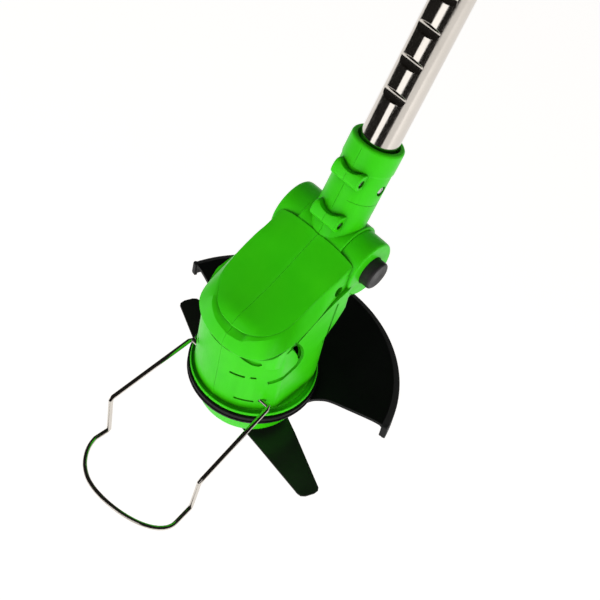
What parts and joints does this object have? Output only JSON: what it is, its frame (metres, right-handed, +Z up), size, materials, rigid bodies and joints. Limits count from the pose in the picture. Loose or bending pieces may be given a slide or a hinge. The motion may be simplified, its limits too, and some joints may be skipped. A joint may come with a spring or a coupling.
{
  "type": "cordless brush cutter",
  "caption": "Cordless brush cutter: tilting motor head with two-armed blade, fan guard and wire bow, on a telescopic chrome tube with a grip, loop handle and slide-on battery.",
  "frame": {"origin": "centre of the blade bolt's lower face, on the motor's axis", "axes": "+Z up along the motor's axis, +Y towards the user, +X to the side of the tilt button"},
  "size_m": [0.1768, 0.5729, 1.0463],
  "materials": {
    "green_plastic": "satin gloss",
    "black_plastic": "satin",
    "grip_rubber": "matte",
    "cable": "satin",
    "chrome": "mirror polish",
    "zinc_steel": "zinc plated",
    "blade_steel": "gloss black",
    "copper": "satin",
    "magnet": "matte",
    "cell_wrap": "satin wrap"
  },
  "bodies": {
    "handle": {"handle_shell_left": "green_plastic", "handle_shell_right": "green_plastic", "handle_screw_1": "zinc_steel", "handle_screw_2": "zinc_steel", "handle_screw_3": "zinc_steel", "tube_guide_bush": "black_plastic", "lock_lever_pin": "zinc_steel", "lock_lever_spring": "zinc_steel", "trigger_pin": "zinc_steel", "trigger_spring": "zinc_steel", "main_switch": "black_plastic", "lock_off_spring": "zinc_steel", "grip_sleeve": "grip_rubber", "battery_terminals": "copper", "handle_lead": "cable", "clamp_front": "black_plastic", "clamp_back": "black_plastic", "front_handle_bolt": "zinc_steel", "stretch_lead": "cable"},
    "lock_lever": {"lock_lever": "black_plastic"},
    "trigger": {"trigger": "black_plastic"},
    "lock_off_button": {"lock_off_button": "black_plastic"},
    "front_handle": {"front_handle": "grip_rubber"},
    "front_handle_knob": {"front_handle_knob": "black_plastic"},
    "battery": {"battery_tub": "black_plastic", "battery_lid": "green_plastic", "battery_cells": "cell_wrap", "battery_contacts": "copper", "battery_latch_spring": "zinc_steel"},
    "battery_latch": {"battery_latch": "grip_rubber"},
    "pole": {"pole_tube": "chrome", "tube_end_bush": "black_plastic", "neck_shell_left": "green_plastic", "neck_shell_right": "green_plastic", "neck_screw_1": "zinc_steel", "neck_screw_2": "zinc_steel", "tube_screw_1": "zinc_steel", "tilt_button_spring": "zinc_steel"},
    "tilt_button": {"tilt_button": "black_plastic"},
    "head": {"head_shell_left": "green_plastic", "head_shell_right": "green_plastic", "head_screw_1": "zinc_steel", "head_screw_2": "zinc_steel", "head_screw_3": "zinc_steel", "motor_can": "zinc_steel", "motor_end_cap": "black_plastic", "motor_magnet_left": "magnet", "motor_magnet_right": "magnet", "motor_mount_plate": "zinc_steel", "spindle_bearing": "zinc_steel", "guard": "black_plastic", "motor_lead": "cable"},
    "rotor": {"motor_shaft": "zinc_steel", "motor_armature": "copper", "rotor_cup": "green_plastic", "blade_flange": "zinc_steel", "cutter_blade": "blade_steel", "blade_washer": "zinc_steel", "blade_bolt": "zinc_steel"},
    "wire_guard": {"wire_guard": "chrome"}
  },
  "joints": [
    {"name": "telescope_slide", "type": "slide", "parent": "handle", "child": "pole", "axis": [0, 0.3714, 0.9285], "range_m": [0, 0.2724], "deforming": ["stretch_lead"]},
    {"name": "head_tilt", "type": "hinge", "parent": "pole", "child": "head", "pos_m": [0, 0.0522, 0.1296], "axis": [1, 0, 0], "range_deg": [0, 50], "deforming": ["motor_lead"]},
    {"name": "rotor_spin", "type": "hinge", "parent": "head", "child": "rotor", "pos_m": [0, 0, 0], "axis": [0, 0, 1], "continuous": true},
    {"name": "wire_guard_fold", "type": "hinge", "parent": "head", "child": "wire_guard", "pos_m": [0, -0.0233, 0.0557], "axis": [-1, 0, 0], "range_deg": [0, 100]},
    {"name": "tilt_button_press", "type": "slide", "parent": "pole", "child": "tilt_button", "axis": [-1, 0, 0], "range_m": [0, 0.005], "stiffness_N_per_m": 600, "springref_m": -0.004, "deforming": ["tilt_button_spring"]},
    {"name": "lock_lever_lift", "type": "hinge", "parent": "handle", "child": "lock_lever", "pos_m": [0, 0.17735, 0.51466], "axis": [-1, 0, 0], "range_deg": [0, 6], "stiffness_Nm_per_rad": 0.8, "springref_deg": -8.59, "deforming": ["lock_lever_spring"]},
    {"name": "trigger_squeeze", "type": "hinge", "parent": "handle", "child": "trigger", "pos_m": [0, 0.34619, 0.82129], "axis": [1, 0, 0], "range_deg": [0, 10], "stiffness_Nm_per_rad": 0.9, "springref_deg": -8.59, "deforming": ["trigger_spring"]},
    {"name": "lock_off_press", "type": "slide", "parent": "handle", "child": "lock_off_button", "axis": [0, 0.9285, -0.3714], "range_m": [0, 0.0035], "stiffness_N_per_m": 500, "springref_m": -0.004, "deforming": ["lock_off_spring"]},
    {"name": "front_handle_tilt", "type": "hinge", "parent": "handle", "child": "front_handle", "pos_m": [0, 0.20019, 0.6003], "axis": [1, 0, 0], "range_deg": [-40, 40]},
    {"name": "knob_turn", "type": "hinge", "parent": "handle", "child": "front_handle_knob", "pos_m": [0, 0.20019, 0.6003], "axis": [1, 0, 0], "continuous": true},
    {"name": "battery_slide", "type": "slide", "parent": "handle", "child": "battery", "axis": [0, 0.3714, 0.9285], "range_m": [0, 0.045]},
    {"name": "battery_latch_press", "type": "slide", "parent": "battery", "child": "battery_latch", "axis": [0, 0.9285, -0.3714], "range_m": [0, 0.003], "stiffness_N_per_m": 500, "springref_m": -0.003, "deforming": ["battery_latch_spring"]}
  ]
}
